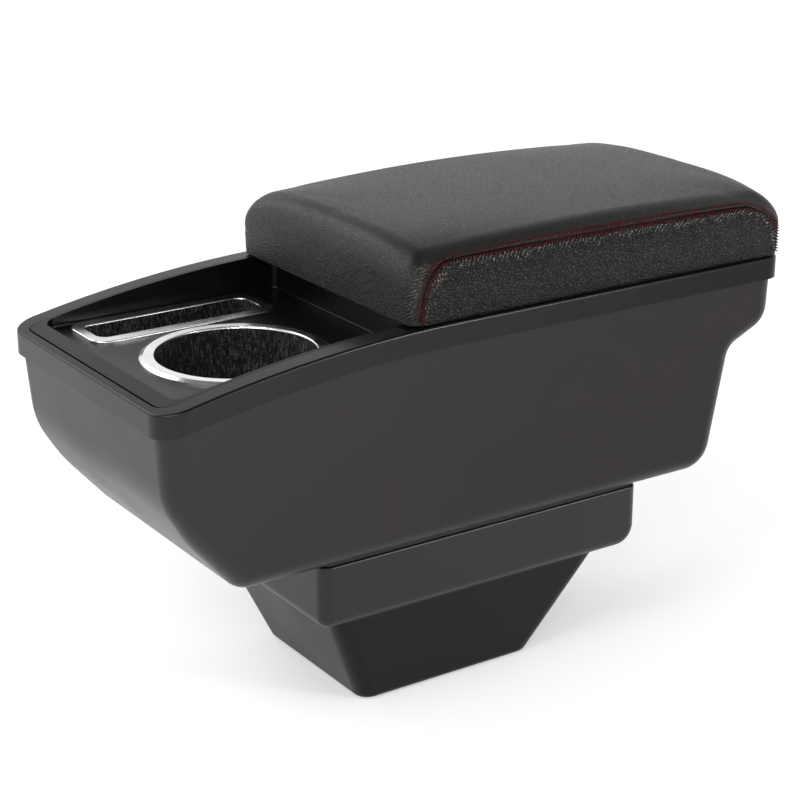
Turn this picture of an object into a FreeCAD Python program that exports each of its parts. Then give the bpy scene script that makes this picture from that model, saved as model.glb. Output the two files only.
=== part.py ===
import FreeCAD, Part
import math
import os

# Centre console box: a front tray with a cup well and a slot, a rear storage bin
# under a padded lid hinged at the rear, all carried on a plug-in mounting base.
# Millimetres. X runs from the front of the box to its rear, Y to its right, Z up.
# The base stands on Z = 0 and the box is centred on X = 0 and Y = 0.

# Overall sizes
length = 350.0
width = 157.0
base_height = 87.0
shell_depth = 93.0
rim_rise = 17.0
rim_rise_length = 150.0

# Clearances
fit_gap = 0.2
pin_gap = 0.05
lid_gap = 0.6

# Shell
wall = 2.6
front_draft = 4.0
side_draft = 3.2
nose_height = 48.0
nose_radius = 40.0
chin_angle = 53.0
chin_radius = 12.0
chin_bulge = 2.6
chin_bulge_share = 0.4
chin_bulge_radius = 90.0
rear_foot_radius = 16.0
rear_wall_lean = 8.0
overhang_reach = 23.6
overhang_height = 63.6
overhang_slope = 25.0
overhang_radius = 14.0
step_radius = 7.0
shell_corner_radius = 10.0

# Rim frame
frame_thickness = 2.4
frame_skirt = 1.6
frame_band = 11.0
frame_border = 9.5
frame_front_border = 4.0
frame_rear_shelf = 28.0
frame_front_radius = 13.0
frame_rear_radius = 10.0
frame_edge_radius = 1.2

# Tray panel
tray_length = 140.0
tray_sink = 1.5
tray_wall = 2.0
tray_floor = 2.4
tray_groove = 0.9
tray_front_border = 7.5
tray_corner_radius = 7.0
tray_rear_corner_radius = 3.0
tray_floor_radius = 1.2
tray_flange = 3.5

# Cup well and its ring
cup_margin = 6.1
cup_depth = 62.0
cup_from_front = 70.4
cup_draft = 2.0
cup_floor_radius = 4.0
cup_ring_width = 7.1
ring_height = 2.1
ring_gap = 2.5
ring_edge_radius = 0.9
well_wall = 1.6
well_flange = 4.0
well_flange_thickness = 0.9

# Slot and its ring
slot_length = 87.0
slot_width = 21.0
slot_depth = 58.0
slot_corner_radius = 5.0
slot_floor_radius = 3.0
slot_from_front = 72.2
slot_ring_end = 5.5
slot_ring_side = 7.0
slot_ring_corner = 9.0
slot_ring_height = 1.4

# Storage bin
bin_wall = 2.0
bin_depth = 96.0
bin_side_setback = 14.5
bin_draft = 2.5
bin_corner_radius = 9.0
bin_floor_radius = 5.0
bin_flange = 9.0
bin_rear_setback = 36.0
bumper_radius = 3.5
bumper_spread = 44.0
bumper_clearance = 0.3

# Mounting base
collar_height = 35.0
collar_front = -88.0
collar_rear = 100.0
collar_half_width = 62.0
collar_corner_radius = 6.0
collar_rear_radius = 11.0
collar_lip_radius = 1.0
collar_gap_height = 2.6
collar_gap_depth = 1.4
tub_top_front = -80.0
tub_top_rear = 81.0
tub_top_half_width = 58.0
tub_foot_front = -56.0
tub_foot_rear = 45.0
tub_foot_half_width = 46.0
tub_corner_radius = 9.0
tub_foot_radius = 4.0
boss_radius = 5.0
boss_inset = 12.0

# Lid and pad
finger_overhang = 14.0
pad_side_inset = 1.5
pad_height = 37.2
pad_radius = 14.0
pad_crown_radius = 640.0
cover_thickness = 1.6
pad_lap = 5.4
panel_thickness = 2.0
plate_thickness = 3.0
plate_rear_setback = 18.0
rib_depth = 7.0
rib_thickness = 2.0
rib_clearance = 1.6

# Seam between the wrap and the side pieces of the cover
seam_front_foot = 4.0
seam_front_lean = 4.0
seam_height = 30.0
seam_front_radius = 14.0
seam_rear_inset = 5.0
seam_rear_radius = 22.0
seam_reach = 20.0

# Hinge
hinge_setback = 5.4
pin_radius = 1.6
lug_radius = 3.4
lug_width = 8.0
knuckle_width = 32.0
knuckle_spread = 60.0
knuckle_height = 10.4
knuckle_depth = 17.6
notch_clearance = 0.4
strip_thickness = 2.5
strip_length = 90.0
strip_depth = 14.0

# Screws
base_screw_radius = 1.9
base_screw_length = 18.0
small_screw_radius = 1.4
small_screw_reach = 1.6
screw_head_height = 1.8
screw_head_ratio = 1.9

# Places that follow from the sizes
front_x = -length / 2
rear_x = length / 2
half_width = width / 2
rim_front_z = base_height + shell_depth
rim_z = rim_front_z + rim_rise
rim_rise_end = front_x + rim_rise_length
shell_setback = frame_skirt + fit_gap
shell_half_width = half_width - shell_setback
floor_z = rim_front_z - tray_sink
tray_front = front_x + frame_front_border + tray_groove
tray_rear = front_x + tray_length
tray_half_width = half_width - frame_border - fit_gap
border_under_z = rim_z - frame_thickness
slot_x = front_x + slot_from_front
slot_outer_half = slot_width / 2 + slot_ring_side
tray_inner_half = tray_half_width - tray_wall
slot_y = tray_inner_half - tray_floor_radius - fit_gap - slot_outer_half
cup_x = front_x + cup_from_front
cup_side = slot_y - slot_outer_half - ring_gap
cup_ring_radius = (cup_side + tray_inner_half - cup_margin) / 2
cup_radius = cup_ring_radius - cup_ring_width
cup_y = cup_side - cup_ring_radius
bin_front = tray_rear + tray_wall + fit_gap + bin_flange
bin_rear = rear_x - bin_rear_setback
bin_half_width = half_width - bin_side_setback
lid_bottom = rim_z + lid_gap
pad_front = tray_rear - finger_overhang
pad_half_width = half_width - pad_side_inset
pad_top = lid_bottom + pad_height
plate_front = pad_front + pad_lap - cover_thickness
plate_rear = rear_x - plate_rear_setback
plate_half_width = pad_half_width - pad_lap
plate_radius = pad_radius - pad_lap
strip_rear = rear_x - shell_setback - wall - fit_gap
hinge_x = rear_x - hinge_setback
hinge_z = lid_bottom + hinge_setback
far = length + width


def vec(x, y, z):
    """Point or direction."""
    return FreeCAD.Vector(x, y, z)


def rounded_wire(points, radii):
    """Closed wire through the points, each corner rounded to its own radius."""
    edges = []
    starts = []
    ends = []
    count = len(points)
    for index in range(count):
        corner = points[index]
        before = (points[index - 1] - corner).normalize()
        after = (points[(index + 1) % count] - corner).normalize()
        half_angle = before.getAngle(after) / 2
        radius = radii[index]
        if radius > 0:
            reach = radius / math.tan(half_angle)
            start = corner + before * reach
            end = corner + after * reach
            bisector = (before + after).normalize()
            middle = corner + bisector * (radius / math.sin(half_angle) - radius)
            edges.append(Part.Arc(start, middle, end).toShape())
        else:
            start = corner
            end = corner
        starts.append(start)
        ends.append(end)
    for index in range(count):
        here = ends[index]
        there = starts[(index + 1) % count]
        if here.distanceToPoint(there) > 1e-6:
            edges.append(Part.makeLine(here, there))
    return Part.Wire(Part.__sortEdges__(edges))


def side_solid(points, radii, y_low, y_high):
    """Side outline given as X and Z pairs, carried across the box along Y."""
    corners = [vec(x, y_low, z) for x, z in points]
    face = Part.Face(rounded_wire(corners, radii))
    return face.extrude(vec(0, y_high - y_low, 0))


def plan_wire(x_low, x_high, half, z, front_radius, rear_radius):
    """Rounded rectangle seen from above, symmetric about the middle plane."""
    corners = [vec(x_low, -half, z), vec(x_high, -half, z), vec(x_high, half, z), vec(x_low, half, z)]
    return rounded_wire(corners, [front_radius, rear_radius, rear_radius, front_radius])


def plan_solid(x_low, x_high, half, z_low, z_high, front_radius, rear_radius):
    """Upright block with a rounded rectangle as its plan."""
    face = Part.Face(plan_wire(x_low, x_high, half, z_low, front_radius, rear_radius))
    return face.extrude(vec(0, 0, z_high - z_low))


def drafted_solid(low, high, z_low, z_high, corner_radius, foot_radius):
    """Tub with drafted walls, rounded corners and a rounded foot.

    low and high each give the front, the rear and the half width at that height.
    """
    side = [(low[0], z_low), (low[1], z_low), (high[1], z_high), (high[0], z_high)]
    block = side_solid(side, [0, 0, 0, 0], -far, far)
    section = [vec(-far, -low[2], z_low), vec(-far, low[2], z_low)]
    section += [vec(-far, high[2], z_high), vec(-far, -high[2], z_high)]
    trough = Part.Face(rounded_wire(section, [0, 0, 0, 0])).extrude(vec(2 * far, 0, 0))
    tub = block.common(trough)
    upright = [e for e in tub.Edges if not near(e.Vertexes[0].Z, e.Vertexes[1].Z)]
    tub = tub.makeFillet(corner_radius, upright)
    return tub.makeFillet(foot_radius, edges_where(tub, lambda p: near(p.z, z_low)))


def box(x_low, x_high, y_low, y_high, z_low, z_high):
    """Plain block between two corners."""
    return Part.makeBox(x_high - x_low, y_high - y_low, z_high - z_low, vec(x_low, y_low, z_low))


def post(radius, x, y, z_low, z_high):
    """Upright cylinder."""
    return Part.makeCylinder(radius, z_high - z_low, vec(x, y, z_low))


def edge_points(edge):
    """Both ends and the middle of an edge."""
    first, last = edge.FirstParameter, edge.LastParameter
    return [edge.valueAt(value) for value in (first, (first + last) / 2, last)]


def edges_where(shape, test):
    """Edges whose ends and middle all pass the test."""
    return [edge for edge in shape.Edges if all(test(point) for point in edge_points(edge))]


def near(value, target):
    """True where two lengths agree."""
    return abs(value - target) < 1e-3


def level_edge(edge, z):
    """True where an edge lies in the level plane at a height."""
    return all(near(point.z, z) for point in edge_points(edge))


def joined(shapes):
    """One solid from overlapping pieces."""
    return shapes[0].fuse(shapes[1:]).removeSplitter()


# Rim line seen from the side: an arc that rises from the front and runs out level
rim_arc_radius = (rim_rise_length ** 2 + rim_rise ** 2) / (2 * rim_rise)


def rim_height(x):
    """Height of the rim top at a distance along the box."""
    back = min(x - rim_rise_end, 0)
    return rim_z - rim_arc_radius + math.sqrt(rim_arc_radius ** 2 - back ** 2)


def under_rim(drop):
    """Everything below the rim line lowered by the drop."""
    start = front_x - wall
    middle = (start + rim_rise_end) / 2
    on_rim = [vec(x, -far, rim_height(x) - drop) for x in (start, middle, rim_rise_end)]
    rear_top = vec(far, -far, rim_z - drop)
    rear_low = vec(far, -far, -far)
    front_low = vec(start, -far, -far)
    edges = [Part.Arc(*on_rim).toShape()]
    edges.append(Part.makeLine(on_rim[2], rear_top))
    edges.append(Part.makeLine(rear_top, rear_low))
    edges.append(Part.makeLine(rear_low, front_low))
    edges.append(Part.makeLine(front_low, on_rim[0]))
    return Part.Face(Part.Wire(edges)).extrude(vec(0, 2 * far, 0))


# Shell
def shell_half_width_at(z, inset):
    """Half width of the shell at a height, measured to a wall set in by the inset."""
    draft = math.radians(side_draft)
    return shell_half_width - (rim_z - z) * math.tan(draft) - inset / math.cos(draft)


def shell_solid(inset):
    """Outer form of the shell, or the form set in from it all round."""
    top = rim_z + shell_setback + wall
    lean = math.tan(math.radians(front_draft))
    nose_z = base_height + nose_height
    front_top_x = front_x + shell_setback - (top - rim_front_z) * lean
    nose_x = front_x + shell_setback + (rim_front_z - nose_z) * lean
    chin_slope = math.radians(chin_angle)
    chin_x = nose_x + nose_height / math.tan(chin_slope)
    bulge_x = nose_x + chin_bulge_share * (chin_x - nose_x) - chin_bulge * math.sin(chin_slope)
    bulge_z = nose_z - chin_bulge_share * nose_height - chin_bulge * math.cos(chin_slope)
    step_x = rear_x - shell_setback - overhang_reach
    step_z = base_height + overhang_height
    foot_x = step_x - overhang_height * math.tan(math.radians(rear_wall_lean))
    shelf_z = step_z + overhang_reach * math.tan(math.radians(overhang_slope))
    outline = [(front_top_x, top), (nose_x, nose_z), (bulge_x, bulge_z), (chin_x, base_height)]
    outline += [(foot_x, base_height), (step_x, step_z), (rear_x - shell_setback, shelf_z)]
    outline += [(rear_x - shell_setback, top)]
    radii = [0, nose_radius, chin_bulge_radius, chin_radius, rear_foot_radius, step_radius, overhang_radius, 0]
    corners = [vec(x, -width, z) for x, z in outline]
    face = Part.Face(rounded_wire(corners, radii))
    if inset > 0:
        face = face.makeOffset2D(-inset)
    block = face.extrude(vec(0, 2 * width, 0))
    low_half = shell_half_width_at(0, inset)
    high_half = shell_half_width_at(2 * top, inset)
    section = [vec(-far, -low_half, 0), vec(-far, low_half, 0)]
    section += [vec(-far, high_half, 2 * top), vec(-far, -high_half, 2 * top)]
    trough = Part.Face(rounded_wire(section, [0, 0, 0, 0])).extrude(vec(2 * far, 0, 0))
    solid = block.common(trough)
    lid_level = top - inset
    side_edges = edges_where(solid, lambda p: near(abs(p.y), shell_half_width_at(p.z, inset)))
    side_edges = [e for e in side_edges if not level_edge(e, lid_level)]
    return solid.makeFillet(shell_corner_radius - inset, side_edges)


boss_places = []
for boss_px in (collar_front + boss_inset, collar_rear - boss_inset):
    for boss_py in (-collar_half_width + boss_inset, collar_half_width - boss_inset):
        boss_places.append((boss_px, boss_py))

shell = shell_solid(0).common(under_rim(frame_thickness)).cut(shell_solid(wall))
for px, py in boss_places:
    shell = shell.cut(post(base_screw_radius + pin_gap, px, py, base_height - wall, base_height + 2 * wall))

# Rim frame
rim_block = plan_solid(front_x, rear_x, half_width, 0, far, frame_front_radius, frame_rear_radius)
frame = rim_block.common(under_rim(0))
rim_edges = edges_where(frame, lambda p: near(p.z, rim_height(p.x)))
frame = frame.makeFillet(frame_edge_radius, rim_edges).cut(under_rim(frame_band))
skirt_hollow = plan_solid(
    front_x + frame_skirt,
    rear_x - frame_skirt,
    half_width - frame_skirt,
    0,
    far,
    frame_front_radius - frame_skirt,
    frame_rear_radius - frame_skirt,
).common(under_rim(frame_thickness))
frame_opening = plan_solid(
    front_x + frame_front_border,
    rear_x - frame_rear_shelf,
    half_width - frame_border,
    0,
    far,
    tray_corner_radius + tray_groove,
    tray_corner_radius,
)
frame = frame.cut(skirt_hollow).cut(frame_opening)

# Tray panel
tray_block = plan_solid(tray_front, tray_rear + tray_wall, tray_half_width, 0, far, tray_corner_radius, 0)
tray_recess = plan_solid(
    tray_front + tray_front_border,
    tray_rear,
    tray_inner_half,
    floor_z,
    far,
    tray_corner_radius,
    tray_rear_corner_radius,
)
recess_edges = edges_where(tray_recess, lambda p: near(p.z, floor_z))
tray_recess = tray_recess.makeFillet(tray_floor_radius, recess_edges)
below_floor = box(-far, far, -far, far, 0, floor_z - tray_floor)
tray_panel = tray_block.common(under_rim(0)).cut(below_floor).cut(tray_recess)
ledge_front = tray_front + shell_corner_radius
ledge_layer = under_rim(frame_thickness).cut(under_rim(frame_thickness + tray_wall))
for side in (-1, 1):
    inner_y = side * tray_inner_half
    outer_y = side * (tray_half_width + tray_flange)
    low_y = min(inner_y, outer_y)
    high_y = max(inner_y, outer_y)
    ledge = box(ledge_front, tray_rear + tray_wall, low_y, high_y, 0, far).common(ledge_layer)
    tray_panel = joined([tray_panel, ledge])
cup_outer = cup_radius + well_wall
tray_panel = tray_panel.cut(post(cup_outer + fit_gap, cup_x, cup_y, 0, far))


def slot_block(half_long, half_wide, radius, z_low, z_high):
    """Upright block with rounded corners centred on the slot."""
    block = plan_solid(slot_x - half_long, slot_x + half_long, half_wide, z_low, z_high, radius, radius)
    block.translate(vec(0, slot_y, 0))
    return block


def slot_solid(grow, z_low, z_high):
    """Upright block over the slot, grown all round from its opening."""
    radius = slot_corner_radius + grow
    return slot_block(slot_length / 2 + grow, slot_width / 2 + grow, radius, z_low, z_high)


tray_panel = tray_panel.cut(slot_solid(well_wall + fit_gap, 0, far))


# Cup well and cup ring, turned about the cup axis
def turned(points, x, y):
    """Solid turned from a section of radius and height pairs about an upright axis."""
    corners = [vec(x + radius, y, z) for radius, z in points]
    face = Part.Face(rounded_wire(corners, [0] * len(corners)))
    return face.revolve(vec(x, y, 0), vec(0, 0, 1), 360)


well_top = floor_z + well_flange_thickness
cup_floor_z = floor_z - cup_depth
cup_low = cup_radius - cup_depth * math.tan(math.radians(cup_draft))
cup_well = turned(
    [
        (0, cup_floor_z - well_wall),
        (cup_low + well_wall, cup_floor_z - well_wall),
        (cup_outer, floor_z),
        (cup_outer + well_flange, floor_z),
        (cup_outer + well_flange, well_top),
        (cup_radius, well_top),
        (cup_low, cup_floor_z),
        (0, cup_floor_z),
    ],
    cup_x,
    cup_y,
)
cup_floor_edges = edges_where(cup_well, lambda p: near(p.z, cup_floor_z))
cup_well = cup_well.makeFillet(cup_floor_radius, cup_floor_edges)
ring_top = floor_z + ring_height
cup_ring = turned(
    [
        (cup_ring_radius, floor_z),
        (cup_ring_radius, floor_z + ring_edge_radius),
        (cup_ring_radius - ring_height, ring_top),
        (cup_radius, ring_top),
        (cup_radius, well_top),
        (cup_outer + well_flange + fit_gap, well_top),
        (cup_outer + well_flange + fit_gap, floor_z),
    ],
    cup_x,
    cup_y,
)
crest_edges = edges_where(cup_ring, lambda p: near(p.z, ring_top))
cup_ring = cup_ring.makeFillet(ring_edge_radius, crest_edges)

# Slot well and slot ring
slot_floor_z = floor_z - slot_depth
slot_well = slot_solid(well_wall, slot_floor_z - well_wall, well_top)
slot_well = slot_well.fuse(slot_solid(well_flange, floor_z, well_top))
slot_hollow = slot_solid(0, slot_floor_z, far)
hollow_edges = edges_where(slot_hollow, lambda p: near(p.z, slot_floor_z))
slot_hollow = slot_hollow.makeFillet(slot_floor_radius, hollow_edges)
slot_well = slot_well.cut(slot_hollow).removeSplitter()
slot_ring_top = floor_z + slot_ring_height
slot_ring = slot_block(
    slot_length / 2 + slot_ring_end,
    slot_outer_half,
    slot_ring_corner,
    floor_z,
    slot_ring_top,
)
slot_ring = slot_ring.cut(slot_solid(0, 0, far))
slot_ring_edges = edges_where(slot_ring, lambda p: near(p.z, slot_ring_top))
slot_ring = slot_ring.makeFillet(slot_ring_height / 2, slot_ring_edges)
slot_ring = slot_ring.cut(slot_solid(well_flange + fit_gap, 0, well_top))

# Storage bin with its flange under the rim border
bin_low_z = border_under_z - bin_depth
bin_taper = bin_depth * math.tan(math.radians(bin_draft))


def bin_solid(grow, z_low):
    """Bin hollow, or the form that stands outside it, tapered to the floor."""
    high = (bin_front - grow, bin_rear + grow, bin_half_width + grow)
    low = (high[0] + bin_taper, high[1] - bin_taper, high[2] - bin_taper)
    corner = bin_corner_radius + grow
    return drafted_solid(low, high, z_low, border_under_z, corner, bin_floor_radius + grow)


bin_liner = bin_solid(bin_wall, bin_low_z - bin_wall)
bin_flange_block = plan_solid(
    bin_front - bin_flange,
    bin_rear + bin_wall + bin_flange,
    bin_half_width + bin_flange,
    border_under_z - bin_wall,
    border_under_z,
    bin_wall,
    bin_corner_radius,
)
bin_flange_block = bin_flange_block.common(under_rim(frame_thickness))
bin_liner = joined([bin_liner, bin_flange_block]).cut(bin_solid(0, bin_low_z))
bumper_list = []
for side in (-1, 1):
    bumper_list.append(
        post(
            bumper_radius,
            bin_front - bin_flange / 2 - bin_wall / 2,
            side * bumper_spread,
            border_under_z,
            lid_bottom - bumper_clearance,
        )
    )
lid_bumpers = Part.makeCompound(bumper_list)

# Mounting base: a collar under the shell, set off from it by a shadow gap, and a tapered tub below
collar_z = base_height - collar_height
collar_top_z = base_height - collar_gap_height
collar = box(collar_front, collar_rear, -collar_half_width, collar_half_width, collar_z, collar_top_z)
rear_edge = edges_where(collar, lambda p: near(p.x, collar_rear) and near(p.z, collar_z))
collar = collar.makeFillet(collar_rear_radius, rear_edge)
corner_edges = edges_where(collar, lambda p: near(abs(p.y), collar_half_width) or near(p.x, collar_front))
corner_edges = [e for e in corner_edges if not level_edge(e, collar_top_z)]
collar = collar.makeFillet(collar_corner_radius, corner_edges)
collar = collar.makeFillet(collar_lip_radius, edges_where(collar, lambda p: near(p.z, collar_top_z)))
neck = plan_solid(
    collar_front + collar_gap_depth,
    collar_rear - collar_gap_depth,
    collar_half_width - collar_gap_depth,
    collar_top_z - wall,
    base_height,
    collar_corner_radius - collar_gap_depth,
    collar_corner_radius - collar_gap_depth,
)


def tub_solid(inset, z_low, z_high):
    """Tapered tub, or the hollow inside it."""
    low = (tub_foot_front + inset, tub_foot_rear - inset, tub_foot_half_width - inset)
    high = (tub_top_front + inset, tub_top_rear - inset, tub_top_half_width - inset)
    return drafted_solid(low, high, z_low, z_high, tub_corner_radius - inset, tub_foot_radius)


tub = tub_solid(0, 0, collar_z + wall)
mounting_base = joined([collar, neck, tub])
collar_hollow = plan_solid(
    collar_front + wall,
    collar_rear - wall,
    collar_half_width - wall,
    collar_z + wall,
    far,
    collar_corner_radius - wall,
    collar_corner_radius - wall,
)
mounting_base = mounting_base.cut(collar_hollow).cut(tub_solid(wall, wall, collar_z + wall))
boss_list = [post(boss_radius, px, py, collar_z + wall, base_height) for px, py in boss_places]
mounting_base = joined([mounting_base] + boss_list)
screw_tip_z = base_height + wall - base_screw_length
for px, py in boss_places:
    mounting_base = mounting_base.cut(post(base_screw_radius + pin_gap, px, py, screw_tip_z - wall, far))


def screw_up(radius, x, y, z_low, z_high):
    """Pan head screw driven upward, its head below z_low."""
    head = post(radius * screw_head_ratio, x, y, z_low - screw_head_height, z_low)
    return joined([head, post(radius, x, y, z_low, z_high)])


def screw_down(radius, x, y, z_high, z_low):
    """Pan head screw driven downward, its head above z_high."""
    head = post(radius * screw_head_ratio, x, y, z_high, z_high + screw_head_height)
    return joined([head, post(radius, x, y, z_low, z_high)])


base_screws = Part.makeCompound(
    [screw_down(base_screw_radius, px, py, base_height + wall, screw_tip_z) for px, py in boss_places]
)


# Pad of the lid: crowned top, rounded edges, rear lower edge turned about the hinge
def pad_solid(inset):
    """Outer form of the pad, or the form set in from it by the inset."""
    half = pad_half_width - inset
    low = lid_bottom + inset
    block = box(pad_front + inset, rear_x - inset, -half, half, low, low + width)
    crown_radius = pad_crown_radius - inset
    crown_z = pad_top - pad_crown_radius
    crown = Part.makeCylinder(crown_radius, 2 * far, vec(-far, 0, crown_z), vec(1, 0, 0))
    block = block.common(crown)
    round_edges = [e for e in block.Edges if not level_edge(e, low)]
    block = block.makeFillet(pad_radius - inset, round_edges)
    lap = hinge_setback - inset
    outline = [(-far, low), (rear_x - inset, low), (rear_x - inset, far), (-far, far)]
    return block.common(side_solid(outline, [0, lap, 0, 0], -width, width))


pad_outer = pad_solid(0)
pad_inner = pad_solid(cover_thickness)
knuckle_high_z = lid_bottom + knuckle_height
knuckle_front = rear_x - knuckle_depth
knuckle_pockets = []
for side in (-1, 1):
    middle_y = side * knuckle_spread / 2
    reach = knuckle_width / 2 + fit_gap
    knuckle_pockets.append(
        box(knuckle_front - fit_gap, far, middle_y - reach, middle_y + reach, 0, knuckle_high_z + fit_gap)
    )

plate_low_z = lid_bottom + panel_thickness
plate_high_z = plate_low_z + plate_thickness
plate_pocket = plan_solid(
    plate_front - fit_gap,
    plate_rear + fit_gap,
    plate_half_width + fit_gap,
    0,
    plate_high_z,
    plate_radius,
    plate_radius,
)
pad_foam = pad_inner.cut(plate_pocket)
cover = pad_outer.cut(pad_inner).cut(plate_pocket)
for pocket in knuckle_pockets:
    pad_foam = pad_foam.cut(pocket)
    cover = cover.cut(pocket)

seam_foot_x = pad_front + seam_front_foot
seam_top_z = lid_bottom + seam_height
seam_outline = [
    (seam_foot_x, lid_bottom - wall),
    (seam_foot_x + seam_front_lean, seam_top_z),
    (rear_x - seam_rear_inset, seam_top_z),
    (rear_x - seam_rear_inset + wall, lid_bottom - wall),
]
seam_radii = [0, seam_front_radius, seam_rear_radius, 0]
seam_inner_y = pad_half_width - seam_reach
side_tool_left = side_solid(seam_outline, seam_radii, -width, -seam_inner_y)
side_tool_right = side_solid(seam_outline, seam_radii, seam_inner_y, width)
pad_side_left = cover.common(side_tool_left)
pad_side_right = cover.common(side_tool_right)
pad_wrap = cover.cut(side_tool_left).cut(side_tool_right)

# Lid plate with its two hinge knuckles, inner panel with its locating rib
lid_plate = plan_solid(
    plate_front,
    plate_rear,
    plate_half_width,
    plate_low_z,
    plate_high_z,
    plate_radius,
    plate_radius,
)
knuckle_outline = [
    (knuckle_front, lid_bottom),
    (rear_x, lid_bottom),
    (rear_x, knuckle_high_z),
    (knuckle_front, knuckle_high_z),
]
pin_hole_radius = pin_radius + pin_gap
pin_list = []
lug_list = []
for side in (-1, 1):
    middle_y = side * knuckle_spread / 2
    low_y = middle_y - knuckle_width / 2
    high_y = middle_y + knuckle_width / 2
    knuckle = side_solid(knuckle_outline, [0, hinge_setback, 0, 0], low_y, high_y)
    bridge = box(plate_rear - wall, knuckle_front + wall, low_y, high_y, plate_low_z, plate_high_z)
    lid_plate = joined([lid_plate, knuckle, bridge])
    notch_half = lug_width / 2 + notch_clearance
    notch_reach = lug_radius + notch_clearance
    notch = box(
        hinge_x - notch_reach,
        far,
        middle_y - notch_half,
        middle_y + notch_half,
        0,
        hinge_z + notch_reach,
    )
    lid_plate = lid_plate.cut(notch)
    bore = Part.makeCylinder(pin_hole_radius, knuckle_width, vec(hinge_x, low_y, hinge_z), vec(0, 1, 0))
    lid_plate = lid_plate.cut(bore)
    pin_list.append(Part.makeCylinder(pin_radius, knuckle_width, vec(hinge_x, low_y, hinge_z), vec(0, 1, 0)))
    lug_low_y = middle_y - lug_width / 2
    eye = Part.makeCylinder(lug_radius, lug_width, vec(hinge_x, lug_low_y, hinge_z), vec(0, 1, 0))
    stem = box(
        hinge_x - lug_radius,
        strip_rear,
        lug_low_y,
        lug_low_y + lug_width,
        border_under_z - strip_thickness,
        hinge_z,
    )
    lug_list.append(joined([eye, stem]).cut(bore))
    frame_slot = box(
        hinge_x - lug_radius - fit_gap,
        hinge_x + lug_radius + fit_gap,
        lug_low_y - fit_gap,
        lug_low_y + lug_width + fit_gap,
        0,
        far,
    )
    frame = frame.cut(frame_slot.common(box(-far, far, -far, far, border_under_z - wall, far)))
hinge_pins = Part.makeCompound(pin_list)

strip = box(
    strip_rear - strip_depth,
    strip_rear,
    -strip_length / 2,
    strip_length / 2,
    border_under_z - strip_thickness,
    border_under_z,
)
hinge_bracket = joined([strip] + lug_list)
bracket_screw_list = []
bracket_screw_x = strip_rear - strip_depth / 2
for bracket_screw_y in (-strip_length / 2 + lug_width, -lug_width, lug_width, strip_length / 2 - lug_width):
    screw_top = border_under_z + small_screw_reach
    hole = post(small_screw_radius + pin_gap, bracket_screw_x, bracket_screw_y, 0, screw_top + pin_gap)
    hinge_bracket = hinge_bracket.cut(hole)
    frame = frame.cut(hole)
    bracket_screw_list.append(
        screw_up(
            small_screw_radius,
            bracket_screw_x,
            bracket_screw_y,
            border_under_z - strip_thickness,
            screw_top,
        )
    )
bracket_screws = Part.makeCompound(bracket_screw_list)

lid_panel = plan_solid(
    plate_front,
    plate_rear,
    plate_half_width,
    lid_bottom,
    plate_low_z,
    plate_radius,
    plate_radius,
)
for pocket in knuckle_pockets:
    lid_panel = lid_panel.cut(pocket)
rib_half = bin_half_width - rib_clearance
rib_front = bin_front + rib_clearance
rib_rear = bin_rear - 2 * rib_clearance
rib_radius = bin_corner_radius
rib_low_z = lid_bottom - rib_depth
rib = plan_solid(rib_front, rib_rear, rib_half, rib_low_z, lid_bottom + pin_gap, rib_radius, rib_radius)
rib = rib.cut(
    plan_solid(
        rib_front + rib_thickness,
        rib_rear - rib_thickness,
        rib_half - rib_thickness,
        0,
        far,
        rib_radius - rib_thickness,
        rib_radius - rib_thickness,
    )
)
lid_panel = joined([lid_panel, rib])
panel_screw_list = []
panel_screw_span = rib_rear - rib_front - 2 * rib_radius
for column in range(3):
    panel_screw_x = rib_front + rib_radius + column * panel_screw_span / 2
    for side in (-1, 1):
        panel_screw_y = side * (rib_half - rib_radius)
        screw_top = plate_high_z - small_screw_reach
        hole = post(small_screw_radius + pin_gap, panel_screw_x, panel_screw_y, 0, screw_top + pin_gap)
        lid_panel = lid_panel.cut(hole)
        lid_plate = lid_plate.cut(hole)
        panel_screw_list.append(
            screw_up(small_screw_radius, panel_screw_x, panel_screw_y, lid_bottom, screw_top)
        )
panel_screws = Part.makeCompound(panel_screw_list)

# Write each piece to its own file
pieces = {
    "mounting_base": mounting_base,
    "base_screws": base_screws,
    "shell": shell,
    "rim_frame": frame,
    "tray_panel": tray_panel,
    "cup_well": cup_well,
    "cup_ring": cup_ring,
    "slot_well": slot_well,
    "slot_ring": slot_ring,
    "bin_liner": bin_liner,
    "lid_bumpers": lid_bumpers,
    "hinge_bracket": hinge_bracket,
    "bracket_screws": bracket_screws,
    "hinge_pins": hinge_pins,
    "lid_plate": lid_plate,
    "lid_panel": lid_panel,
    "panel_screws": panel_screws,
    "pad_foam": pad_foam,
    "pad_wrap": pad_wrap,
    "pad_side_left": pad_side_left,
    "pad_side_right": pad_side_right,
}
os.makedirs("parts", exist_ok=True)
for name, shape in pieces.items():
    shape.exportStep(os.path.join("parts", name + ".step"))
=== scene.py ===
"""Looks of a car centre console box with a padded, hinged lid.

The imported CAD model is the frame. Its nodes get procedural finishes, and the
leather of the lid is replaced by swollen panels with sewn seams.
Lengths are metres: +X runs to the hinge end, +Y to the slot side, +Z up.
"""
import logging
import math
from dataclasses import dataclass, field
from enum import Enum
from functools import reduce
from typing import Any, Protocol, Sequence

import bpy
import numpy as np
from mathutils import Matrix, Vector


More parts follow.
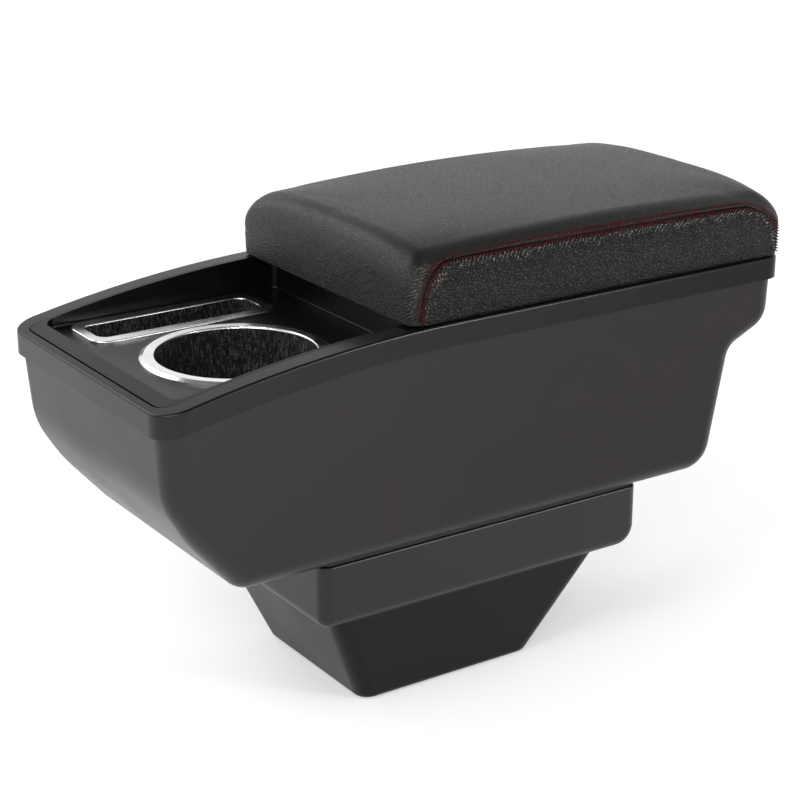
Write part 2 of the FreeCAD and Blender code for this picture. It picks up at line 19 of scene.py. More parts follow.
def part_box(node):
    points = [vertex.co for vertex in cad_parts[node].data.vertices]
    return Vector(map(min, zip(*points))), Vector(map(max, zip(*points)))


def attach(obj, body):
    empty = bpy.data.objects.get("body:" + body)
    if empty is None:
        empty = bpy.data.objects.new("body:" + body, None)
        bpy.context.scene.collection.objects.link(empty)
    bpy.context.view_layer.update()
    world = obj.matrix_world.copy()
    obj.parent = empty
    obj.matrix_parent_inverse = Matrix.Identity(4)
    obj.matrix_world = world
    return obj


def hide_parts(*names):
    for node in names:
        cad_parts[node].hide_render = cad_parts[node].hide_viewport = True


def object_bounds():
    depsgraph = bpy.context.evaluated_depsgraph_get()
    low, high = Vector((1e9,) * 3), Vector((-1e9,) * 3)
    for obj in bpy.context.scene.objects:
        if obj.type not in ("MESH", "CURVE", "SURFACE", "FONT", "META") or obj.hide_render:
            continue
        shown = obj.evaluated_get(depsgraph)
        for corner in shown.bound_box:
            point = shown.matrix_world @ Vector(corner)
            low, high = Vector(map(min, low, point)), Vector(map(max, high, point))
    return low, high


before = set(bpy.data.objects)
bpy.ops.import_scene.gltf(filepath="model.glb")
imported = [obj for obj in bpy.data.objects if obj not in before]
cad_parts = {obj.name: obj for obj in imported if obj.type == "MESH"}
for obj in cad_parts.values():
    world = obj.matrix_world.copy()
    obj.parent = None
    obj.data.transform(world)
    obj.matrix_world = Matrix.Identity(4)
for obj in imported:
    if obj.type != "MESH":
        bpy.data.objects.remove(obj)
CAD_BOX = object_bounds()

Array = np.ndarray
Colour = tuple[float, float, float]
Material = bpy.types.Material
Piece = bpy.types.Object
Socket = bpy.types.NodeSocket

MM = 0.001
WHITE = (1.0, 1.0, 1.0, 1.0)
CREASE = "crease"
# Body of the frame that all new pieces ride on
LID = "lid"
# Values that most of a noise lies between
NOISE_RANGE = (0.3, 0.7)
# Upward part of a normal at which a face begins to count as level, and at which it fully does
LEVEL_RANGE = (0.35, 0.9)
SWELL_PRESSURE = 4.0
SWELL_STEPS = 20
SWELL_QUALITY = 6
log = logging.getLogger("console_box")


class Side(Enum):
    """Sides of the pad, by the sign of Y there."""

    LEFT = -1
    RIGHT = 1

    @property
    def word(self) -> str:
        """Lower-case name for piece names."""
        return self.name.lower()


# Materials


class Nodes:
    """Shader nodes of one tree, with short ways to add and link them."""

    def __init__(self, tree: bpy.types.NodeTree) -> None:
        """Take the tree to add to."""
        self.tree = tree

    def add(self, kind: str, sockets: dict[Any, Any] | None = None, **settings: Any) -> bpy.types.Node:
        """Add a node.

        Args:
            kind: Type name of the node.
            sockets: Values or links for its input sockets.
            settings: Values for its properties.

        Returns:
            The new node.
        """
        node = self.tree.nodes.new(kind)
        for key, value in settings.items():
            setattr(node, key, value)
        for key, value in (sockets or {}).items():
            self.feed(node.inputs[key], value)
        return node

    def feed(self, socket: Socket, value: Any) -> None:
        """Link an input socket to an output, or set its plain value.

        Args:
            socket: The input.
            value: An output socket or a plain value.
        """
        if isinstance(value, Socket):
            self.tree.links.new(value, socket)
        else:
            socket.default_value = value

    def spread(self, value: Any, low: float, high: float, to_low: Any = 0.0, to_high: Any = 1.0) -> Socket:
        """Carry a value from one range to another, held at its ends."""
        sockets = {"Value": value, 1: low, 2: high, 3: to_low, 4: to_high}
        return self.add("ShaderNodeMapRange", sockets).outputs["Result"]

    def reckon(self, operation: str, first: Any, second: Any) -> Socket:
        """Arithmetic on two values."""
        return self.add("ShaderNodeMath", {0: first, 1: second}, operation=operation).outputs[0]

    def combine(self, operation: str, first: Any, second: Any) -> Socket:
        """Arithmetic on two vectors."""
        return self.add("ShaderNodeVectorMath", {0: first, 1: second}, operation=operation).outputs[0]

    def weigh(self, *terms: tuple[Any, float]) -> Socket:
        """Sum of values, each times its weight."""
        parts = [self.reckon("MULTIPLY", value, weight) for value, weight in terms]
        return reduce(lambda total, part: self.reckon("ADD", total, part), parts)

    def rays(self) -> tuple[Socket, Socket]:
        """Sockets that are 1 for rays from the camera, and for rays from a gloss or a glass."""
        path = self.add("ShaderNodeLightPath").outputs
        mirrored = self.reckon("MAXIMUM", path["Is Glossy Ray"], path["Is Transmission Ray"])
        return path["Is Camera Ray"], mirrored


class Graph(Nodes):
    """Nodes of one material, which ends in a Principled shader."""

    def __init__(self, name: str) -> None:
        """Start the material.

        Args:
            name: Name of the material.
        """
        self.material = bpy.data.materials.new(name)
        self.material.use_nodes = True
        super().__init__(self.material.node_tree)
        self.tree.nodes.clear()
        self.surface = self.add("ShaderNodeBsdfPrincipled")
        self.add("ShaderNodeOutputMaterial", {"Surface": self.surface.outputs["BSDF"]})
        place = self.add("ShaderNodeTexCoord").outputs
        self.position, self.facing = place["Object"], place["Normal"]

    def shade(self, **sockets: Any) -> None:
        """Set the shader's sockets; underscores stand for spaces."""
        for key, value in sockets.items():
            self.feed(self.surface.inputs[key.replace("_", " ").title().replace("Ior", "IOR")], value)

    def stretched(self, scale: Sequence[float]) -> Socket:
        """Object position scaled by its own factor along each axis."""
        return self.add("ShaderNodeMapping", {"Vector": self.position, "Scale": scale}).outputs["Vector"]

    def drawn_out(self, vector: Any, lean: float, stretch: float) -> Socket:
        """Position on which patterns are longer along a line that leans down from X."""
        sockets = {"Vector": vector, "Rotation": (0.0, lean, 0.0), "Scale": (stretch, 1.0, 1.0)}
        return self.add("ShaderNodeMapping", sockets, vector_type="TEXTURE").outputs["Vector"]

    def noise(self, size: float, detail: float = 2.0, vector: Any = None, rough: float = 0.5) -> Socket:
        """Noise about 0.5, by the length of one feature, or 1 where the vector is already scaled."""
        sockets = {"Vector": vector or self.position, "Scale": 1 / size, "Detail": detail, "Roughness": rough}
        return self.add("ShaderNodeTexNoise", sockets).outputs[0]

    def cells(self, size: float, vector: Any, feature: str = "DISTANCE_TO_EDGE") -> Socket:
        """Cell pattern, as the distance to the cells' edges or middles."""
        sockets = {"Vector": vector, "Scale": 1 / size}
        return self.add("ShaderNodeTexVoronoi", sockets, feature=feature).outputs["Distance"]

    def blend(self, share: Any, first: Any, second: Colour) -> Socket:
        """Colour between two colours.

        Args:
            share: Share of the second, which varies over the surface.
            first: A colour, or the link to one.
            second: The other colour.

        Returns:
            Socket with the colour.
        """
        start = first if isinstance(first, Socket) else (*first, 1.0)
        sockets = {0: share, 6: start, 7: (*second, 1.0)}
        return self.add("ShaderNodeMix", sockets, data_type="RGBA").outputs[2]

    def level(self, upright: Any, level: Any) -> Socket:
        """Value that goes over from one on upright faces to another on level ones."""
        upward = self.add("ShaderNodeSeparateXYZ", {0: self.facing}).outputs["Z"]
        return self.spread(upward, *LEVEL_RANGE, upright, level)

    def warped(self, size: float, amount: float) -> Socket:
        """Object position pushed about by slow noise.

        Args:
            size: Length of one feature of the noise.
            amount: Longest push.

        Returns:
            Socket with the moved position.
        """
        push = self.add("ShaderNodeTexNoise", {"Vector": self.position, "Scale": 1 / size, "Detail": 1.0})
        centred = self.combine("SUBTRACT", push.outputs["Color"], (0.5, 0.5, 0.5))
        return self.combine("ADD", self.position, self.combine("MULTIPLY", centred, (2 * amount,) * 3))

    def relief(self, height: Any, depth: float, strength: Any = 1.0) -> Socket:
        """Normal of a surface raised by a height of 0 to 1 times the depth."""
        sockets = {"Height": height, "Distance": depth, "Strength": strength}
        return self.add("ShaderNodeBump", sockets).outputs["Normal"]


class Finish(Protocol):
    """A surface finish that can build its material."""

    name: str

    def build(self) -> Material:
        """Build the material."""


def shades(colour: Colour, spread: float) -> tuple[Colour, Colour]:
    """A darker and a lighter shade of a colour.

    Args:
        colour: Middle colour.
        spread: Share by which the shades differ from it.

    Returns:
        The darker and the lighter shade.
    """
    tones = np.array(colour)
    return tuple(tones * (1 - spread)), tuple(tones * (1 + spread))


@dataclass(frozen=True)
class MouldedPlastic:
    """Moulded plastic: fine eroded grain, with colour and gloss clouded by slow noise.

    Where a height is given, the part below it has lower gloss, which paints the
    shade under the shell as darker faces. Where a rear gloss is given, the gloss
    of upright faces goes over to it from the front end of the object to its rear
    end, which paints the light falling off towards the rear, and level faces have
    the mean of both.
    """

    name: str
    colour: Colour
    roughness: float
    gloss: float = 0.5
    grain: float = 0.5 * MM
    depth: float = 0.02 * MM
    cloud: float = 45 * MM
    contrast: float = 0.16
    sway: float = 0.035
    # Height below which the gloss drops as painted shade, and the share of gloss left there
    shaded_below: float = -1.0
    shaded_gloss_share: float = 0.35
    # Gloss at the rear end, where painted light fall-off makes the upright faces darker
    rear_gloss: float = -1.0

    def build(self) -> Material:
        """Build the material.

        Returns:
            The material.
        """
        graph = Graph(self.name)
        cloud = graph.noise(self.cloud, 3.0)
        grain = graph.noise(self.grain)
        speck = graph.noise(3 * self.grain, 3.0)
        tone = graph.spread(graph.weigh((cloud, 0.6), (speck, 0.4)), *NOISE_RANGE)
        smooth, rough = self.roughness - self.sway, self.roughness + self.sway
        graph.shade(
            base_color=graph.blend(tone, *shades(self.colour, self.contrast)),
            roughness=graph.spread(cloud, *NOISE_RANGE, smooth, rough),
            specular_ior_level=self.shine(graph),
            normal=graph.relief(graph.reckon("ADD", grain, speck), self.depth),
        )
        return graph.material

    def shine(self, graph: Graph) -> Any:
        """Gloss over the object, as the class describes it.

        Args:
            graph: Graph of the material.

        Returns:
            A plain value, or the socket of one that varies.
        """
        place = graph.add("ShaderNodeSeparateXYZ", {0: graph.position}).outputs
        # Painted shade: below the given height the gloss drops, so the lower part reads darker.
        if self.shaded_below >= 0:
            edge = self.shaded_below
            return graph.spread(place["Z"], edge - MM, edge + MM, self.shaded_gloss_share * self.gloss, self.gloss)
        # Painted light fall-off: upright faces lose gloss from front to rear, so the rear reads darker.
        if self.rear_gloss >= 0:
            falling = graph.spread(place["X"], CAD_BOX[0].x, CAD_BOX[1].x, self.gloss, self.rear_gloss)
            return graph.level(falling, (self.gloss + self.rear_gloss) / 2)
        return self.gloss


@dataclass(frozen=True)
class PlatedMetal:
    """Plated metal: fine lines along one axis, with colour and gloss mottled by noise."""

    name: str
    colour: Colour
    contrast: float
    mottle: float
    detail: float
    smooth: float
    rough: float
    lines: tuple[float, float, float]
    depth: float
    mottle_range: tuple[float, float] = NOISE_RANGE

    def build(self) -> Material:
        """Build the material.

        Returns:
            The material.
        """
        graph = Graph(self.name)
        mottle = graph.noise(self.mottle, self.detail)
        lines = graph.noise(1.0, vector=graph.stretched(self.lines))
        graph.shade(
            base_color=graph.blend(mottle, *shades(self.colour, self.contrast)),
            metallic=1.0,
            roughness=graph.spread(mottle, *self.mottle_range, self.smooth, self.rough),
            normal=graph.relief(lines, self.depth),
        )
        return graph.material


@dataclass(frozen=True)
class Flocking:
    """Flocked lining: short upright fibres as stretched noise, with pale flecks."""

    name: str
    fibre: Colour = (0.004, 0.004, 0.004)
    fleck: Colour = (0.15, 0.15, 0.143)
    streak: tuple[float, float, float] = (1100, 1100, 260)
    fuzz: float = 0.5 * MM
    gloss: float = 0.2
    depth: float = 0.7 * MM

    def build(self) -> Material:
        """Build the material.

        Returns:
            The material.
        """
        graph = Graph(self.name)
        streak = graph.noise(1.0, vector=graph.stretched(self.streak), rough=0.6)
        fuzz = graph.noise(self.fuzz, 3.0, rough=0.75)
        both = graph.weigh((streak, 0.4), (fuzz, 0.6))
        graph.shade(
            base_color=graph.blend(graph.spread(both, 0.5, 0.66), self.fibre, self.fleck),
            roughness=graph.spread(fuzz, *NOISE_RANGE, 0.85, 1.0),
            specular_ior_level=self.gloss,
            normal=graph.relief(both, self.depth),
        )
        return graph.material


@dataclass(frozen=True)
class Leather:
    """Grained leather: warped cells pressed into pebbles, with fine pores on top.

    The grain is drawn out along a slanting line and fades on level parts. Its
    pits are darker and duller and its crests lighter, which is partly the
    leather's own tone and partly painted shade and light on the relief. The tops
    of the gathers outside the pits are blended to a pale painted highlight. The
    sizes of warp, fine cells, pores and slow clouds are counted in pebbles.
    """

    name: str
    colour: Colour
    roughness: float
    pebble: float
    depth: float
    gloss: float
    contrast: float
    stretch: float
    lean: float = math.radians(32)
    warp: float = 2.4
    warp_push: float = 0.9
    fine: float = 0.45
    pore: float = 0.22
    slow: float = 14.0
    level_share: float = 0.14
    # Colour of the painted highlight on the tops of the gathers
    gather_highlight: Colour = (0.26, 0.25, 0.24)

    def build(self) -> Material:
        """Build the material.

        Returns:
            The material.
        """
        graph = Graph(self.name)
        warped = graph.warped(self.warp * self.pebble, self.warp_push * self.pebble)
        place = graph.drawn_out(warped, self.lean, self.stretch)
        pebble = graph.spread(graph.cells(self.pebble, place), 0.0, 0.28)
        fine = graph.spread(graph.cells(self.fine * self.pebble, place), 0.0, 0.3)
        pore = graph.noise(self.pore * self.pebble)
        slow = graph.noise(self.slow * self.pebble)
        height = graph.weigh((pebble, 0.6), (fine, 0.28), (pore, 0.12))
        # Partly painted shade and light: colour follows the grain's height, darker in the pits and lighter on
        # the crests, mixed with a slow tone of the leather's own.
        tone = graph.spread(graph.weigh((height, 0.6), (slow, 0.4)), 0.25, 0.8)
        dull, bright = (1 - 0.75 * self.contrast) * self.gloss, (1 + 0.35 * self.contrast) * self.gloss
        # Painted highlight: the tops of the gathers outside the pits are blended to a pale colour, as if
        # their folds caught the light.
        crease = graph.add("ShaderNodeAttribute", attribute_name=CREASE).outputs["Fac"]
        gathered = graph.spread(crease, 0.1, 0.7)
        highlight_share = graph.reckon("MULTIPLY", gathered, graph.spread(height, 0.3, 0.75))
        graph.shade(
            base_color=graph.blend(highlight_share, graph.blend(tone, *shades(self.colour, self.contrast)), self.gather_highlight),
            roughness=graph.spread(height, 0.1, 0.9, self.roughness + 0.12, self.roughness - 0.05),
            specular_ior_level=graph.spread(height, 0.15, 0.7, dull, bright),
            normal=graph.relief(height, self.depth, graph.level(1.0, self.level_share)),
        )
        return graph.material


@dataclass(frozen=True)
class SewingThread:
    """Twisted sewing thread: slanting ridges over a slightly mottled colour."""

    name: str
    colour: Colour
    twist: float = 0.32 * MM
    fuzz: float = 0.15 * MM
    contrast: float = 0.35
    gloss: float = 0.2
    depth: float = 0.06 * MM

    def build(self) -> Material:
        """Build the material.

        Returns:
            The material.
        """
        graph = Graph(self.name)
        wave = graph.add(
            "ShaderNodeTexWave",
            {"Vector": graph.position, "Scale": 0.3 / self.twist, "Distortion": 1.5},
            bands_direction="DIAGONAL",
        ).outputs[1]
        fuzz = graph.noise(self.fuzz)
        graph.shade(
            base_color=graph.blend(graph.reckon("MULTIPLY", wave, fuzz), *shades(self.colour, self.contrast)),
            roughness=graph.spread(fuzz, *NOISE_RANGE, 0.65, 0.85),
            specular_ior_level=self.gloss,
            normal=graph.relief(graph.reckon("ADD", wave, fuzz), self.depth),
        )
        return graph.material


@dataclass(frozen=True)
class CellularSoft:
    """Foam or rubber: open cells of one size, matte all over."""

    name: str
    colour: Colour
    cell: float
    depth: float
    contrast: float = 0.2

    def build(self) -> Material:
        """Build the material.

        Returns:
            The material.
        """
        graph = Graph(self.name)
        cells = graph.cells(self.cell, graph.warped(4 * self.cell, self.cell), "F1")
        mottle = graph.noise(12 * self.cell)
        graph.shade(
            base_color=graph.blend(mottle, *shades(self.colour, self.contrast)),
            roughness=graph.spread(mottle, *NOISE_RANGE, 0.82, 0.95),
            normal=graph.relief(cells, self.depth),
        )
        return graph.material


@dataclass
class Palette:
    """Finishes of the whole box, each built once when it is first asked for."""

    # The shell and rim lose gloss towards the rear as painted light fall-off.
    shell: Finish = MouldedPlastic("shell_plastic", (0.0086, 0.0062, 0.0050), 0.34, 0.42, rear_gloss=0.22)
    rim: Finish = MouldedPlastic("rim_plastic", (0.0042, 0.0042, 0.0036), 0.25, 0.33, rear_gloss=0.12)
    tray: Finish = MouldedPlastic("tray_plastic", (0.0028, 0.0028, 0.0025), 0.34, 0.22)
    # Below 52 mm the base gets lower gloss as painted shade under the shell.
    base: Finish = MouldedPlastic("base_plastic", (0.0060, 0.0048, 0.0034), 0.34, 0.40, shaded_below=52 * MM)
    inner: Finish = MouldedPlastic(
        "inner_plastic", (0.0085, 0.0082, 0.008), 0.48, 0.45, grain=0.9 * MM, depth=0.05 * MM
    )
    trim: Finish = PlatedMetal(
        "bright_trim",
        (0.87, 0.875, 0.88),
        contrast=0.04,
        mottle=9 * MM,
        detail=4.0,
        smooth=0.17,
        rough=0.26,
        lines=(90, 2600, 2600),
        depth=0.004 * MM,
        mottle_range=(0.35, 0.7),
    )
    flock: Finish = Flocking("black_flocking")
    wrap: Finish = Leather(
        "wrap_leather",
        (0.0074, 0.0068, 0.0058),
        roughness=0.36,
        pebble=1.3 * MM,
        depth=0.3 * MM,
        gloss=0.35,
        contrast=0.2,
        stretch=1.4,
    )
    panel: Finish = Leather(
        "panel_leather",
        (0.0066, 0.0058, 0.0048),
        roughness=0.34,
        pebble=1.15 * MM,
        depth=0.38 * MM,
        gloss=0.22,
        contrast=0.8,
        stretch=2.0,
    )
    thread: Finish = SewingThread("red_thread", (0.06, 0.005, 0.007))
    steel: Finish = PlatedMetal(
        "plated_steel",
        (0.55, 0.55, 0.56),
        contrast=0.15,
        mottle=2.5 * MM,
        detail=3.0,
        smooth=0.28,
        rough=0.42,
        lines=(3000, 160, 3000),
        depth=0.01 * MM,
    )
    rubber: Finish = CellularSoft("bumper_rubber", (0.02, 0.02, 0.02), 0.4 * MM, 0.02 * MM)
    foam: Finish = CellularSoft("pad_foam_cells", (0.05, 0.05, 0.052), 1.1 * MM, 0.25 * MM)
    built: dict[str, Material] = field(default_factory=dict)

    def paint(self, finish: Finish) -> Material:
        """Material of a finish.

        Args:
            finish: The finish.

        Returns:
            Its material, built the first time it is asked for.
        """
        if finish.name not in self.built:
            self.built[finish.name] = finish.build()
        return self.built[finish.name]


# Meshes


def grid_faces(rows: int, columns: int, flip: bool = False) -> Array:
    """Quads of a grid whose points are numbered row by row.

    Args:
        rows: Points along the first parameter.
        columns: Points along the second parameter.
        flip: Turn the quads round.

    Returns:
        Array of quads, four point numbers each.
    """
    row, column = np.meshgrid(np.arange(rows - 1), np.arange(columns - 1), indexing="ij")
    first = row * columns + column
    quads = np.stack([first, first + 1, first + columns + 1, first + columns], axis=-1)
    return quads[..., ::-1] if flip else quads


def sweep_faces(strands: int, stations: int, around: int) -> Array:
    """Quads of many separate tubes, each a row of rings.

    Args:
        strands: Number of tubes.
        stations: Rings along each tube.
        around: Points on each ring.

    Returns:
        Array of quads, four point numbers each.
    """
    strand, station, turn = np.meshgrid(
        np.arange(strands), np.arange(stations - 1), np.arange(around), indexing="ij"
    )
    ring = (strand * stations + station) * around
    after = (turn + 1) % around
    quads = np.stack([ring + turn, ring + after, ring + around + after, ring + around + turn], axis=-1)
    return quads.reshape(-1, 4)


def make_mesh(name: str, points: Array, faces: Array) -> Piece:
    """Put points and quads into a new smooth object at the origin.

    Args:
        name: Name of the object.
        points: Places of the points, in any grid layout.
        faces: Quads, in any grid layout.

    Returns:
        The linked object.
    """
    mesh = bpy.data.meshes.new(name)
    mesh.from_pydata(points.reshape(-1, 3), [], faces.reshape(-1, 4))
    mesh.polygons.foreach_set("use_smooth", np.ones(len(mesh.polygons), bool))
    mesh.validate()
    made = bpy.data.objects.new(name, mesh)
    bpy.context.scene.collection.objects.link(made)
    return made


def finish_piece(piece: Piece, material: Material) -> Piece:
    """Give a piece its material and let it ride on the lid.

    Args:
        piece: The new object.
        material: Its finish.

    Returns:
        The same object.
    """
    piece.data.materials.append(material)
    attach(piece, LID)
    return piece


def unit(vectors: Array) -> Array:
    """Vectors brought to length one."""
    return vectors / np.maximum(np.linalg.norm(vectors, axis=-1, keepdims=True), 1e-12)


def ease(value: Array) -> Array:
    """Smooth step from 0 to 1, held outside that range."""
    held = np.clip(value, 0, 1)
    return held * held * (3 - 2 * held)


def refine(field_values: Array, factors: tuple[int, int]) -> Array:
    """Fill in a field on a grid with a smooth curve through its values.

    Along each axis in turn, the four nearest values are weighed by the
    Catmull-Rom cubic at evenly spaced places between them.

    Args:
        field_values: Values on a coarse grid, with components last.
        factors: Steps of the fine grid in each coarse step, by axis.

    Returns:
        Values on the fine grid.
    """
    for axis, factor in enumerate(factors):
        values = np.moveaxis(field_values, axis, 0)
        place = np.arange((len(values) - 1) * factor + 1) / factor
        start = np.minimum(place.astype(int), len(values) - 2)
        t = (place - start)[:, None, None]
        padded = np.concatenate([values[:1], values, values[-1:]])
        before, first, second, after = (padded[start + step] for step in range(4))
        bend = 2 * before - 5 * first + 4 * second - after
        twist = 3 * (first - second) + after - before
        values = first + 0.5 * t * (second - before + t * (bend + t * twist))
        field_values = np.moveaxis(values, 0, axis)
    return field_values


def travelled(points: Array, axis: int = 0) -> Array:
    """Length from the start of a grid of points to each of them, along one of its axes."""
    steps = np.linalg.norm(np.diff(points, axis=axis), axis=-1)
    return np.insert(np.cumsum(steps, axis=axis), 0, 0.0, axis=axis)


def border(shape: tuple[int, ...]) -> Array:
    """Grid that is True on its outer rows and columns only."""
    inner = np.zeros((shape[0] - 2, shape[1] - 2), bool)
    return np.pad(inner, 1, constant_values=True)


def thicken(piece: Piece, thickness: float) -> None:
    """Give a sheet of leather its thickness, inwards.

    Args:
        piece: The sheet.
        thickness: Its thickness.
    """
    solid = piece.modifiers.new("Leather thickness", "SOLIDIFY")
    solid.thickness = thickness
    solid.offset = -1


def swell(points: Array, held: Array, flip: bool, cap: float) -> Array:
    """Let a sheet swell under pressure.

    Blender's cloth is stepped with no gravity while the held points stay, and
    all moves are scaled down together so that the longest is within the cap.

    Args:
        points: Grid of points at rest.
        held: True at points that stay.
        flip: Turn the grid's quads round, so that they face out.
        cap: Longest move.

    Returns:
        Move of each point, in the grid's layout.
    """
    scene = bpy.context.scene
    sheet = make_mesh("swelling_sheet", points, grid_faces(*points.shape[:2], flip=flip))
    group = sheet.vertex_groups.new(name="held")
    group.add(np.flatnonzero(held).tolist(), 1.0, "REPLACE")
    modifier = sheet.modifiers.new("Cloth", "CLOTH")
    cloth = modifier.settings
    cloth.vertex_group_mass = group.name
    cloth.use_pressure = True
    cloth.uniform_pressure_force = SWELL_PRESSURE
    cloth.effector_weights.gravity = 0
    cloth.quality = SWELL_QUALITY
    modifier.point_cache.frame_start = 1
    modifier.point_cache.frame_end = SWELL_STEPS
    for step in range(1, SWELL_STEPS + 1):
        scene.frame_set(step)
    shaped = sheet.evaluated_get(bpy.context.evaluated_depsgraph_get())
    moved = np.zeros(points.size, np.float32)
    shaped.data.vertices.foreach_get("co", moved)
    bpy.data.objects.remove(sheet)
    scene.frame_set(1)
    move = moved.reshape(points.shape).astype(float) - points
    longest = np.linalg.norm(move, axis=-1).max()
    log.info("swelling: longest move %.2f mm before the cap", longest / MM)
    return move * min(1.0, cap / longest)


# The lid


@dataclass
class PadForm:
    """Rounded, crowned block that the lid's leather lies on.

    Args:
        low: Lowest corner of the block.
        high: Highest corner of the block, at the crest of the crown.
        seam_level: Height of the long seam.
    """

    low: Array
    high: Array
    seam_level: float
    edge: float = 14 * MM
    crest: float = 4.0 * MM
    crown: float = 1.8 * MM
    arch: float = 0.3 * MM
    edge_arch: float = 9.4 * MM
    arch_lift: float = 0.2
    arch_shift: float = 2 * MM
    heel: float = 5.4 * MM
    rear_bulge: float = 3.2 * MM
    bulge_start: float = 11 * MM
    bulge_rise: float = 10 * MM
    bulge_run: float = 40 * MM

    def __post_init__(self) -> None:
        """Work out the shrunken block that the rounding is measured from."""
        self.top = self.high[2] - self.crest
        self.core_low = np.array([self.low[0] + self.edge, self.low[1] + self.edge, -1.0])
        self.core_high = np.array([self.high[0] - self.edge, self.high[1] - self.edge, self.top - self.edge])

    @staticmethod
    def plan_length(past: Array) -> Array:
        """Length in plan as the fourth root of the sum of fourth powers, which keeps corners full."""
        return np.maximum(np.sum(past[..., :2] ** 4, axis=-1) ** 0.25, 1e-9)

    def outward(self, points: Array) -> Array:
        """Direction away from the block at each point.

        In plan it is the cube of each part of the step past the shrunken
        block over the square of its plan length; upright it is the step.

        Args:
            points: Points about the block.

        Returns:
            Vectors of length one.
        """
        past = points - np.clip(points, self.core_low, self.core_high)
        past[..., :2] = past[..., :2] ** 3 / self.plan_length(past)[..., None] ** 2
        return unit(past)

    def round_off(self, points: Array) -> Array:
        """Pull points onto the rounded block.

        A point goes to its nearest place on the shrunken block and then out
        from there by the edge radius.

        Args:
            points: Points on the sharp block.

        Returns:
            Points on the rounded one.
        """
        nearest = np.clip(points, self.core_low, self.core_high)
        past = points - nearest
        length = np.hypot(self.plan_length(past), past[..., 2])
        return nearest + self.edge * past / length[..., None]

    def drape(self, x: Array, z: Array, side: Side) -> Array:
        """Points of the rounded block seen from the side at X and Z.

        Y is the shrunken block's side plus the fourth root of what the fourth
        power of the X step leaves of the plan length at that height.

        Args:
            x: Places along the box.
            z: Heights.
            side: Side that is looked at.

        Returns:
            Points on the block.
        """
        past_x = x - np.clip(x, self.core_low[0], self.core_high[0])
        past_z = np.maximum(z - self.core_high[2], 0)
        plan = np.maximum(self.edge**2 - past_z**2, 0)
        step = np.maximum(plan**2 - past_x**4, 0) ** 0.25
        return np.stack([x, side.value * (self.core_high[1] + step), z], axis=-1)

    def along(self, x: Array) -> Array:
        """Place along the arch, 0 at its crest and about 1 at the ends."""
        half = (self.high[0] - self.low[0]) / 2
        return (x - self.high[0] + half + self.arch_shift) / half

    def rise(self, x: Array, y: Array) -> Array:
        """Rise of the top at X and Y.

        With the fourth power of Y, a crown falls to the sides and an arch that
        falls with the square of X grows from its middle to its edge height.

        Args:
            x: Places along the box.
            y: Places across it.

        Returns:
            Heights over the block's flat top.
        """
        across = (y / self.high[1]) ** 4
        arch = self.arch + (self.edge_arch - self.arch) * across
        return self.crown * (1 - across) + arch * (self.arch_lift - self.along(x) ** 2)

    def crowned(self, points: Array) -> Array:
        """Raise the block into its crown and turn the rear lower edge.

        Heights grow in proportion to the rise of the top. The rear end is held
        inside a quarter round of the heel radius, and bulges above it with one
        minus the square of Y.

        Args:
            points: Points on the rounded block.

        Returns:
            The moved points.
        """
        x, y, z = np.moveaxis(points, -1, 0)
        up = (z - self.low[2] - self.bulge_start) / self.bulge_rise
        back = (x - self.high[0] + self.bulge_run) / self.bulge_run
        bulge = self.rear_bulge * (1 - (y / self.high[1]) ** 2) * ease(up) * ease(back)
        z = z + self.rise(x, y) * (z - self.low[2]) / (self.top - self.low[2])
        under = np.clip(self.low[2] + self.heel - z, 0, self.heel)
        limit = self.high[0] - self.heel + np.sqrt(self.heel**2 - under**2)
        return np.stack([np.minimum(x, limit) + bulge, y, z], axis=-1)


